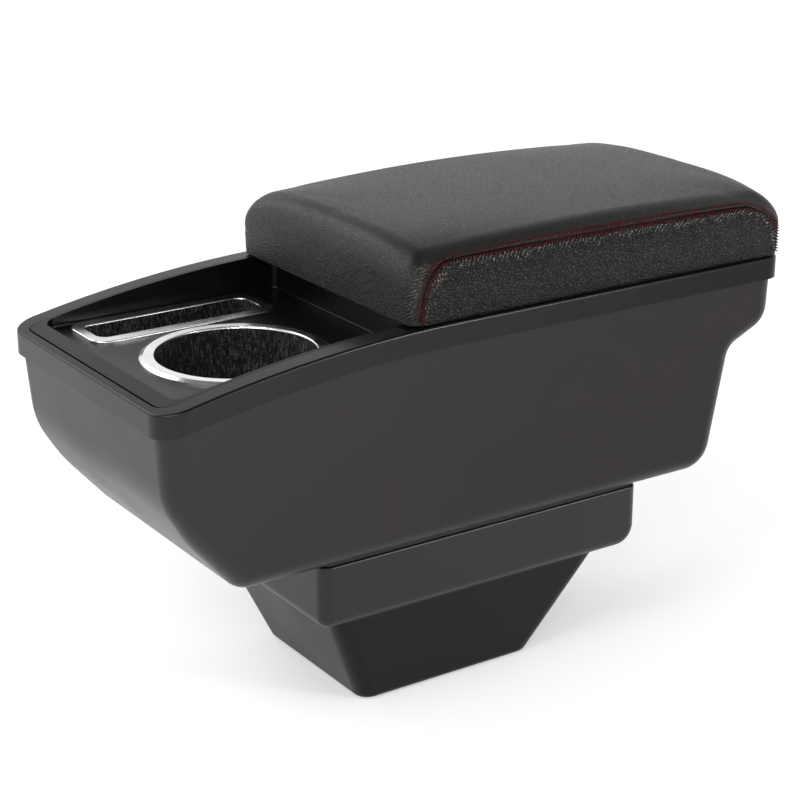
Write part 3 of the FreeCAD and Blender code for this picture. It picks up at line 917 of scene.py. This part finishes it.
@dataclass
class SeamLine:
    """Seam on the side of the pad, in X and Z: two legs and a long run with round corners.

    Args:
        form: Block that the seam lies on.
        front: X at the foot of the front leg.
        rear: X at the foot of the rear leg.
    """

    form: PadForm
    front: float
    rear: float
    lean: float = 4 * MM
    rear_lean: float = 2 * MM
    front_radius: float = 19 * MM
    rear_radius: float = 23 * MM
    drop: float = 1.0 * MM
    tilt: float = 0.5 * MM
    sag: float = 2.8 * MM
    rounds: int = 6
    counts: tuple[int, ...] = (14, 14, 40, 9, 3, 4)

    def corner(self, before: Array, point: Array, after: Array, radius: float) -> Array:
        """Start, middle of the circle and end of a rounded corner.

        Args:
            before: Point that the run comes from.
            point: The sharp corner.
            after: Point that the run goes to.
            radius: Radius of the rounding.

        Returns:
            The three points, one per row.
        """
        back, on = unit(before - point), unit(after - point)
        half = math.acos(float(np.clip(back @ on, -1, 1))) / 2
        start = point + back * radius / math.tan(half)
        end = point + on * radius / math.tan(half)
        centre = point + unit(back + on) * radius / math.sin(half)
        return np.stack([start, centre, end])

    def shares(self, fineness: int) -> list[Array]:
        """Shares of each section at its points, without its end."""
        return [np.linspace(0, 1, count * fineness, endpoint=False) for count in self.counts]

    def path(self, fineness: int) -> Array:
        """Points along the seam, section by section.

        Straight sections are evenly divided; in a corner the direction from
        the circle's middle turns evenly. The whole line then sinks by the drop,
        with X by the tilt and with the square of X by the sag, in proportion to
        its height. The rise of the top is taken out again in a few rounds, as
        it comes later.

        Args:
            fineness: Steps for each of the counts.

        Returns:
            X and Z of the points.
        """
        low, level = self.form.low[2], self.form.seam_level
        feet = np.array([[self.front, low], [self.rear, low]])
        tops = np.array([[self.front + self.lean, level], [self.rear - self.rear_lean, level]])
        front = self.corner(feet[0], tops[0], tops[1], self.front_radius)
        rear = self.corner(tops[0], tops[1], feet[1], self.rear_radius)
        steps = [share[:, None] for share in self.shares(fineness)]
        split = rear[2] + (feet[1] - rear[2]) * self.counts[4] / (self.counts[4] + self.counts[5])
        sections = [
            feet[0] + (front[0] - feet[0]) * steps[0],
            self.turn(front, steps[1]),
            front[2] + (rear[0] - front[2]) * steps[2],
            self.turn(rear, steps[3]),
            rear[2] + (split - rear[2]) * steps[4],
            split + (feet[1] - split) * np.sin(steps[5] * math.pi / 2),
            feet[1:],
        ]
        line = np.concatenate(sections)
        along = self.form.along(line[:, 0])
        sink = self.drop + self.tilt * along + self.sag * along**2
        wanted = (line[:, 1] - low) * (1 - sink / (level - low))
        height = self.form.top - low
        for _ in range(self.rounds):
            y = self.form.drape(line[:, 0], line[:, 1], Side.RIGHT)[:, 1]
            line[:, 1] = low + np.minimum(wanted * height / (height + self.form.rise(line[:, 0], y)), height)
        return line

    @staticmethod
    def turn(corner: Array, share: Array) -> Array:
        """Points on a corner's circle.

        Args:
            corner: Start, middle of the circle and end, one per row.
            share: Shares of the turn.

        Returns:
            The points.
        """
        start, end = corner[0] - corner[1], corner[2] - corner[1]
        angle = math.acos(float(np.clip(unit(start) @ unit(end), -1, 1)))
        weigh = np.sin((1 - share) * angle) * start + np.sin(share * angle) * end
        return corner[1] + weigh / math.sin(angle)


@dataclass
class Gathers:
    """Ridges that the stitches pull into the leather beside a seam.

    They lie one pitch apart, lean along the seam, and fade in and out at a
    distance from it and towards its ends; seeded noise varies their height,
    reach and place.
    """

    pitch: float = 2.3 * MM
    lean: float = 1.0
    height: float = 0.6 * MM
    start: float = 1.2 * MM
    end: float = 6 * MM
    width: float = 0.6
    knots: int = 140
    least: float = 0.55
    most: float = 1.2
    drift: float = 0.42
    sharpness: float = 0.8
    sink: float = 0.3
    seed: int = 7

    def __post_init__(self) -> None:
        """Start the noise."""
        self.rng = np.random.default_rng(self.seed)

    def rise(self, along: Array, away: Array, reach: float) -> Array:
        """Heights of the ridges, as a power of a cosine wave less a sink.

        Args:
            along: Length along the seam.
            away: Distance from the seam.
            reach: Distance at which they are highest.

        Returns:
            Heights.
        """
        first, last = along.min(), along.max()
        knots = np.linspace(first, last, self.knots)
        vary = np.interp(along, knots, self.rng.uniform(self.least, self.most, self.knots))
        drift = np.interp(along, knots, self.rng.uniform(-self.drift, self.drift, self.knots))
        phase = (along + self.lean * away) / self.pitch + drift
        ridge = (0.5 + 0.5 * np.cos(2 * math.pi * phase)) ** self.sharpness - self.sink
        spread = np.exp(-(((away - reach * vary) / (self.width * reach)) ** 2))
        fade = ease(away / self.start) * ease(np.minimum(along - first, last - along) / self.end)
        return self.height * vary * spread * ridge * fade


@dataclass
class PadPanels:
    """Leather of the lid: a wrap over front, top and rear, and a panel on each side.

    Every panel is a grid of two parameters on the rounded block. It swells as
    a cloth, then dips into its seam and gathers along it.
    """

    palette: Palette
    gathers: Gathers = field(default_factory=Gathers)
    fineness: int = 4
    side_fineness: int = 14
    side_rows: int = 8
    flank_steps: int = 8
    span_steps: tuple[int, ...] = (2, 3, 4, 3, 2)
    tuck_steps: int = 6
    skin: float = 1.2 * MM
    hem_show: float = 0.15 * MM
    valley_depth: float = 0.8 * MM
    valley_width: float = 1.1 * MM
    wrap_swell: float = 1.0 * MM
    side_swell: float = 1.2 * MM
    wrap_reach: float = 6 * MM
    side_reach: float = 4 * MM
    wrap_folds: float = 0.7
    leg_length: float = 24 * MM
    leg_fade: float = 22 * MM
    foot_inset: float = 6 * MM
    steep_share: float = 0.45
    row_growth: float = 1.6
    knuckle_inner: float = 13.8 * MM
    knuckle_outer: float = 46.2 * MM
    knuckle_gap: float = 0.2 * MM

    def __post_init__(self) -> None:
        """Take the block and the seam from the frame's leather nodes."""
        wrap_low, wrap_high = (np.array(corner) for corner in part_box("pad_wrap"))
        left_low, left_high = (np.array(corner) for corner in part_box("pad_side_left"))
        half = -left_low[1]
        low = np.array([wrap_low[0], -half, wrap_low[2] + self.hem_show])
        high = np.array([wrap_high[0], half, wrap_high[2]])
        self.form = PadForm(low, high, float(left_high[2]))
        self.line = SeamLine(self.form, float(left_low[0]), float(left_high[0]))
        self.knuckle_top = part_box("lid_plate")[1][2] + self.knuckle_gap
        self.tuck_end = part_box("lid_panel")[1][0] + self.knuckle_gap

    def seam_points(self, side: Side, fineness: int) -> Array:
        """Seam on the rounded block, before crown and heel."""
        path = self.line.path(fineness)
        return self.form.drape(path[:, 0], path[:, 1], side)

    def outline(self, fineness: int) -> Array:
        """Sharp outline of the block in X and Z, in step with the seam's sections.

        Args:
            fineness: Steps for each of the counts.

        Returns:
            X and Z of the points.
        """
        low, high, top, edge = self.form.low, self.form.high, self.form.top, self.form.edge
        steps = self.line.shares(fineness)
        up, over = np.clip(2 * steps[1], 0, 1), np.clip(2 * steps[1] - 1, 0, 1)
        out, down = np.clip(2 * steps[3], 0, 1), np.clip(2 * steps[3] - 1, 0, 1)
        shoulder, knuckle = top - edge, self.knuckle_top
        sections = [
            (0 * steps[0] + low[0], low[2] + (shoulder - low[2]) * steps[0]),
            (low[0] + edge * over, shoulder + edge * up),
            (low[0] + edge + (high[0] - low[0] - 2 * edge) * steps[2], 0 * steps[2] + top),
            (high[0] - edge + edge * out, top - edge * down),
            (0 * steps[4] + high[0], shoulder + (knuckle - shoulder) * steps[4]),
            (0 * steps[5] + high[0], knuckle + (low[2] - knuckle) * np.sin(steps[5] * math.pi / 2)),
            (high[:1], low[2:]),
        ]
        return np.concatenate([np.stack(section, axis=-1) for section in sections])

    def wrap_grid(self, fineness: int) -> Array:
        """Wrap on the rounded block: rows follow the outline, columns run from seam to seam.

        Between the flats of the block's sides a row runs straight across. On
        each side it bends from there round the block's sharp edge to the seam,
        as a quadratic curve; then all points are pulled onto the rounded block.

        Args:
            fineness: Steps for each of the counts.

        Returns:
            Grid of points.
        """
        outline = self.outline(fineness)
        half, flat = self.form.high[1], self.form.core_high[1]
        stops = [flat, self.knuckle_outer, self.knuckle_inner]
        marks = [*(-stop for stop in stops), *stops[::-1]]
        spans = [
            np.linspace(start, end, count * fineness, endpoint=False)
            for start, end, count in zip(marks, marks[1:], self.span_steps)
        ]
        across = np.append(np.concatenate(spans), flat)
        middle = np.empty((len(outline), len(across), 3))
        middle[..., 0], middle[..., 1], middle[..., 2] = outline[:, :1], across, outline[:, 1:]
        share = np.linspace(0, 1, self.flank_steps * fineness, endpoint=False)[:, None]
        flanks = []
        for side, flat_line in ((Side.LEFT, middle[:, :1]), (Side.RIGHT, middle[:, -1:])):
            seam = self.seam_points(side, fineness)[:, None]
            sharp = flat_line * (1, 0, 1) + (0, side.value * half, 0)
            flanks.append((1 - share) ** 2 * seam + 2 * share * (1 - share) * sharp + share**2 * flat_line)
        grid = np.concatenate([flanks[0], middle, flanks[1][:, ::-1]], axis=1)
        return self.form.round_off(grid)

    def side_grid(self, side: Side, fineness: int, rows: int) -> Array:
        """Side panel on the rounded block: rows run along the seam, columns down from it.

        A column goes from a seam point towards a point on the bottom edge that
        advances with the seam, steep runs counting less, and its steps grow
        away from the seam.

        Args:
            side: Side of the pad.
            fineness: Steps along the seam for each of the counts.
            rows: Steps away from the seam.

        Returns:
            Grid of points.
        """
        seam = self.line.path(fineness)
        run = np.abs(np.diff(seam, axis=0)) @ np.array([1.0, self.steep_share])
        share = np.append(0, np.cumsum(run)) / run.sum()
        inset = self.foot_inset
        foot_x = self.line.front + inset + (self.line.rear - self.line.front - 2 * inset) * share
        foot = np.stack([foot_x, np.full_like(foot_x, self.form.low[2])], axis=-1)
        depth = (np.linspace(0, 1, rows + 1) ** self.row_growth)[:, None, None]
        flat = seam + (foot - seam) * depth
        return self.form.drape(flat[..., 0], flat[..., 1], side)

    def valley(self, away: Array) -> Array:
        """Depth of the dip into the seam at a distance from it."""
        return self.valley_depth * np.exp(-((away / self.valley_width) ** 2))

    def settle(self, points: Array, move: Array, rise: Array) -> Array:
        """Crown a panel, swell it and raise it by its seam relief."""
        return self.form.crowned(points + move) + self.form.outward(points) * rise[..., None]

    def mark(self, piece: Piece, folds: Array) -> None:
        """Store how far each point lies up a gather, from 0 to 1, as the mask of the painted highlight in the
        leather's finish.

        Args:
            piece: The panel.
            folds: Heights of its gathers.
        """
        share = np.clip(folds / self.gathers.height, 0, 1).astype(np.float32)
        crease = piece.data.attributes.new(CREASE, "FLOAT", "POINT")
        crease.data.foreach_set("value", share.ravel())

    def tuck(self, edge: Array) -> Array:
        """Rows of the wrap that run forward under the pad from its rear edge.

        Args:
            edge: Last row of the wrap.

        Returns:
            Rows that go level from the edge to the rear of the lid's inner panel.
        """
        share = np.linspace(0, 1, self.tuck_steps + 1)[1:, None]
        rows = np.repeat(edge[None], self.tuck_steps, axis=0)
        rows[..., 0] += (self.tuck_end - edge[:, 0]) * share
        return rows

    def build_wrap(self) -> Piece:
        """Build the wrap.

        Returns:
            The piece.
        """
        coarse = self.wrap_grid(1)
        held = border(coarse.shape)
        held[-self.line.counts[5] - 1:] = True
        move = refine(swell(coarse, held, True, self.wrap_swell), (self.fineness, self.fineness))
        points = self.wrap_grid(self.fineness)
        from_left = travelled(points, 1)
        away = np.minimum(from_left, from_left[:, -1:] - from_left)
        along = np.broadcast_to(travelled(points[:, 0])[:, None], away.shape)
        leg = 1 - ease((along - self.leg_length) / self.leg_fade)
        folds = self.wrap_folds * self.gathers.rise(along, away, self.wrap_reach) * leg
        shaped = self.settle(points, move, folds - self.valley(away))
        shaped = np.concatenate([shaped, self.tuck(shaped[-1])])
        folds = np.concatenate([folds, np.zeros((self.tuck_steps, folds.shape[1]))])
        quads = grid_faces(*shaped.shape[:2], flip=True)
        middle = shaped.reshape(-1, 3)[quads].mean(axis=2)
        lateral = np.abs(middle[..., 1])
        in_pocket = (lateral > self.knuckle_inner) & (lateral < self.knuckle_outer)
        in_pocket &= (middle[..., 2] < self.knuckle_top) & (middle[..., 0] > self.tuck_end)
        piece = make_mesh("pad_wrap_leather", shaped, quads[~in_pocket])
        self.mark(piece, folds)
        thicken(piece, self.skin)
        finish_piece(piece, self.palette.paint(self.palette.wrap))
        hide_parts("pad_wrap", "pad_foam")
        return piece

    def build_side(self, side: Side) -> Piece:
        """Build one side panel.

        Args:
            side: Side of the pad.

        Returns:
            The piece.
        """
        flip = side is Side.LEFT
        coarse = self.side_grid(side, 1, self.side_rows)
        swelling = swell(coarse, border(coarse.shape), flip, self.side_swell)
        move = refine(swelling, (self.fineness, self.side_fineness))
        points = self.side_grid(side, self.side_fineness, self.side_rows * self.fineness)
        away = travelled(points)
        along = np.broadcast_to(travelled(points[0]), away.shape)
        folds = self.gathers.rise(along, away, self.side_reach)
        shaped = self.settle(points, move, folds - self.valley(away))
        piece = make_mesh(f"pad_side_leather_{side.word}", shaped, grid_faces(*points.shape[:2], flip=flip))
        self.mark(piece, folds)
        thicken(piece, self.skin)
        finish_piece(piece, self.palette.paint(self.palette.panel))
        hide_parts(f"pad_side_{side.word}")
        return piece


@dataclass
class SeamStitches:
    """Red stitches that slant away from the seam on both of its sides."""

    panels: PadPanels
    pitch: float = 1.5 * MM
    radius: float = 0.36 * MM
    near: float = 0.35 * MM
    far: float = 2.6 * MM
    slant: float = 1.4 * MM
    lift: float = 0.28 * MM
    margin: float = 2.5 * MM
    tip: float = 0.45
    fullness: float = 0.6
    stations: int = 6
    around: int = 6

    def build(self, side: Side) -> Piece:
        """Build the stitches of one seam.

        The middle line of a stitch runs outward from the seam and slants along
        it; its height is the dip of the leather, less the bend of the rounded
        edge, plus a half-sine arch. A ring that narrows at both ends is
        carried along it.

        Args:
            side: Side of the pad.

        Returns:
            The piece.
        """
        form = self.panels.form
        raw = self.panels.seam_points(side, self.panels.fineness)
        seam = form.crowned(raw)
        length = travelled(seam)
        places = np.arange(self.margin, length[-1] - self.margin, self.pitch)
        along = unit(np.gradient(seam, length, axis=0))
        outward = form.outward(raw)
        base, run, lift = (self.at(places, length, values) for values in (seam, along, outward))
        run, lift = unit(run), unit(lift)
        aside = -side.value * unit(np.cross(lift, run))
        share = np.linspace(0, 1, self.stations)
        away = self.near + (self.far - self.near) * share
        height = self.lift * np.sin(math.pi * share) - self.panels.valley(away) - away**2 / (2 * form.edge)
        thick = self.radius * (self.tip + (1 - self.tip) * np.sin(math.pi * share) ** self.fullness)
        turn = np.linspace(0, 2 * math.pi, self.around, endpoint=False)
        rows = []
        for way in (-1, 1):
            middle = base[:, None] + aside[:, None] * (way * away)[:, None] + lift[:, None] * height[:, None]
            middle = middle + run[:, None] * (way * self.slant * share)[:, None]
            axis = unit(np.gradient(middle, axis=1))
            up = unit(lift[:, None] - axis * np.sum(axis * lift[:, None], axis=-1, keepdims=True))
            cross = np.cross(axis, up)
            ring = np.cos(turn)[:, None] * up[:, :, None] + np.sin(turn)[:, None] * cross[:, :, None]
            rows.append(middle[:, :, None] + ring * thick[:, None, None])
        points = np.concatenate(rows)
        faces = sweep_faces(len(points), self.stations, self.around)
        piece = make_mesh(f"seam_thread_{side.word}", points, faces)
        return finish_piece(piece, self.panels.palette.paint(self.panels.palette.thread))

    @staticmethod
    def at(places: Array, length: Array, values: Array) -> Array:
        """Vectors at places along the seam, between the known ones."""
        return np.stack([np.interp(places, length, values[:, axis]) for axis in range(3)], axis=-1)


@dataclass
class PadHem:
    """Leather turned under the lower edge of the pad, along its sides and front."""

    panels: PadPanels
    inset: float = 0.9 * MM
    rise: float = 1.8 * MM
    bend: float = 0.7 * MM
    thickness: float = 0.7 * MM
    rear_gap: float = 5.4 * MM
    steps: int = 14
    bend_steps: int = 6

    def build(self) -> Piece:
        """Build the hem.

        A profile that drops, bends through a quarter round and runs inwards is
        carried along the sides and the rounded front of the pad's plan.

        Returns:
            The piece.
        """
        form = self.panels.form
        width = form.high[1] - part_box("lid_panel")[1][1] - self.inset
        angle = np.linspace(0, math.pi / 2, self.bend_steps)
        inward = np.concatenate([[0.0], self.bend * (1 - np.cos(angle)), [width]])
        height = np.concatenate([[self.rise], self.bend * (1 - np.sin(angle)), [0.0]])
        turn = np.linspace(math.pi / 2, math.pi, self.steps)
        centre = np.array([form.core_low[0], form.core_high[1]])
        arc = np.stack([np.cos(turn), np.sin(turn)], axis=-1)
        arc = arc / form.plan_length(arc)[:, None]
        start = np.array([[form.high[0] - self.rear_gap, form.core_high[1]]])
        right_centres = np.concatenate([start, np.broadcast_to(centre, (self.steps, 2))])
        right_normals = np.concatenate([[[0.0, 1.0]], arc])
        mirror = np.array([1.0, -1.0])
        centres = np.concatenate([right_centres, right_centres[::-1] * mirror])
        normals = np.concatenate([right_normals, right_normals[::-1] * mirror])
        reach = form.edge - self.inset - inward
        plan = centres[:, None] + normals[:, None] * reach[:, None]
        level = np.broadcast_to(form.low[2] - self.panels.hem_show + height, plan.shape[:2])
        points = np.concatenate([plan, level[..., None]], axis=-1)
        piece = make_mesh("pad_hem_leather", points, grid_faces(*plan.shape[:2], flip=True))
        thicken(piece, self.thickness)
        finish_piece(piece, self.panels.palette.paint(self.panels.palette.wrap))
        return piece


# The box


@dataclass
class DressedNodes:
    """CAD nodes that stay as they are and get a finish."""

    palette: Palette

    def dress(self) -> None:
        """Put each node's finish on it."""
        tones = self.palette
        finishes = {
            tones.shell: ("shell",),
            tones.rim: ("rim_frame",),
            tones.tray: ("tray_panel",),
            tones.base: ("mounting_base",),
            tones.inner: ("bin_liner", "lid_panel", "lid_plate"),
            tones.trim: ("cup_ring", "slot_ring"),
            tones.flock: ("cup_well", "slot_well"),
            tones.steel: ("base_screws", "bracket_screws", "panel_screws", "hinge_pins", "hinge_bracket"),
            tones.rubber: ("lid_bumpers",),
            tones.foam: ("pad_foam",),
        }
        for finish, names in finishes.items():
            for name in names:
                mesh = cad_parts[name].data
                mesh.materials.clear()
                mesh.materials.append(tones.paint(finish))
                log.info("%s: finish %s", name, finish.name)


# The studio


@dataclass(frozen=True)
class SoftLamp:
    """Area lamp that looks at the box."""

    name: str
    place: tuple[float, float, float]
    size: float
    power: float

    def build(self, target: Vector) -> None:
        """Add the lamp.

        Args:
            target: Place that it is turned to.
        """
        lamp = bpy.data.lights.new(self.name, "AREA")
        lamp.shape = "DISK"
        lamp.size = self.size
        lamp.energy = self.power
        holder = bpy.data.objects.new(self.name, lamp)
        holder.location = self.place
        holder.rotation_euler = (target - Vector(self.place)).to_track_quat("-Z", "Y").to_euler()
        bpy.context.scene.collection.objects.link(holder)


@dataclass
class Studio:
    """Pale floor, white surround, soft lamps and the camera."""

    floor_half: float = 4.0
    floor_steps: int = 9
    floor_sink: float = 0.2 * MM
    floor_colour: Colour = (0.84, 0.84, 0.84)
    floor_roughness: float = 0.9
    floor_glow: float = 0.36
    far_glow: float = 0.72
    glow_start: float = 0.6
    ambient: float = 0.5
    ceiling: float = 0.16
    ceiling_start: float = 0.44
    ceiling_full: float = 0.85
    camera_place: tuple[float, float, float] = (-0.5352, -0.7927, 0.4760)
    yaw: float = 33.829
    pitch: float = 19.824
    roll: float = 0.066
    lens: float = 92.134
    sensor: float = 36.0
    lamps: tuple[SoftLamp, ...] = (
        SoftLamp("key_lamp", (-1.5, -0.5, 1.5), 1.2, 16.0),
        SoftLamp("rear_lamp", (-0.8, 1.6, 1.5), 1.2, 12.0),
        SoftLamp("side_lamp", (0.9, -1.25, 1.05), 0.5, 2.5),
        SoftLamp("low_lamp", (1.15, -1.83, 0.55), 0.45, 18.0),
        SoftLamp("front_lamp", (-0.9, -1.15, 0.95), 0.35, 3.0),
    )

    def build(self) -> None:
        """Build the whole studio."""
        scene = bpy.context.scene
        scene.view_settings.view_transform = "Standard"
        self.build_world()
        self.build_floor()
        low, high = CAD_BOX
        for lamp in self.lamps:
            lamp.build((low + high) / 2)
        self.build_camera()

    def build_world(self) -> None:
        """White surround that lights softly; gloss shows it with a darker ceiling."""
        world = bpy.data.worlds.new("studio_surround")
        world.use_nodes = True
        bpy.context.scene.world = world
        nodes = Nodes(world.node_tree)
        background = nodes.tree.nodes["Background"]
        camera, mirrored = nodes.rays()
        way = nodes.add("ShaderNodeTexCoord").outputs["Generated"]
        upward = nodes.add("ShaderNodeSeparateXYZ", {0: way}).outputs["Z"]
        overhead = nodes.spread(upward, self.ceiling_start, self.ceiling_full, 1.0, self.ceiling)
        lighting = nodes.spread(mirrored, 0.0, 1.0, self.ambient, overhead)
        nodes.feed(background.inputs["Color"], WHITE)
        nodes.feed(background.inputs["Strength"], nodes.reckon("MAXIMUM", lighting, camera))

    def build_floor(self) -> None:
        """Pale floor that keeps the shadow and glows where it is seen, more so far away."""
        span = np.linspace(-self.floor_half, self.floor_half, self.floor_steps)
        x, y = np.meshgrid(span, span, indexing="ij")
        points = np.stack([x, y, np.full_like(x, CAD_BOX[0].z - self.floor_sink)], axis=-1)
        floor = make_mesh("studio_floor", points, grid_faces(*x.shape, flip=True))
        graph = Graph("pale_floor")
        away = graph.add("ShaderNodeVectorMath", {0: graph.position}, operation="LENGTH").outputs["Value"]
        glow = graph.spread(away, self.glow_start, self.floor_half, self.floor_glow, self.far_glow)
        graph.shade(
            base_color=(*self.floor_colour, 1.0),
            roughness=self.floor_roughness,
            specular_ior_level=0.0,
            emission_color=WHITE,
            emission_strength=graph.reckon("MULTIPLY", glow, graph.reckon("MAXIMUM", *graph.rays())),
        )
        floor.data.materials.append(graph.material)

    def build_camera(self) -> None:
        """Camera at the photograph's place, from its turn, tilt and roll."""
        yaw, pitch, roll = (math.radians(angle) for angle in (self.yaw, self.pitch, self.roll))
        ahead = Vector((math.sin(yaw) * math.cos(pitch), math.cos(yaw) * math.cos(pitch), -math.sin(pitch)))
        level = Vector((math.cos(yaw), -math.sin(yaw), 0.0))
        upward = level.cross(ahead)
        right = math.cos(roll) * level + math.sin(roll) * upward
        top = right.cross(ahead)
        lens = bpy.data.cameras.new("photo_camera")
        lens.lens = self.lens
        lens.sensor_width = self.sensor
        camera = bpy.data.objects.new("photo_camera", lens)
        turned = Matrix((right, top, -ahead)).transposed()
        camera.matrix_world = Matrix.Translation(self.camera_place) @ turned.to_4x4()
        bpy.context.scene.collection.objects.link(camera)
        bpy.context.scene.camera = camera


def main() -> None:
    """Build the studio, the finishes and the lid's leather in order."""
    logging.basicConfig(level=logging.INFO, format="%(message)s")
    Studio().build()
    palette = Palette()
    DressedNodes(palette).dress()
    panels = PadPanels(palette)
    stitches = SeamStitches(panels)
    pieces = [panels.build_wrap()]
    for side in Side:
        pieces += [panels.build_side(side), stitches.build(side)]
    pieces.append(PadHem(panels).build())
    for piece in pieces:
        log.info("%s: %d points", piece.name, len(piece.data.vertices))


if __name__ == "__main__":
    main()
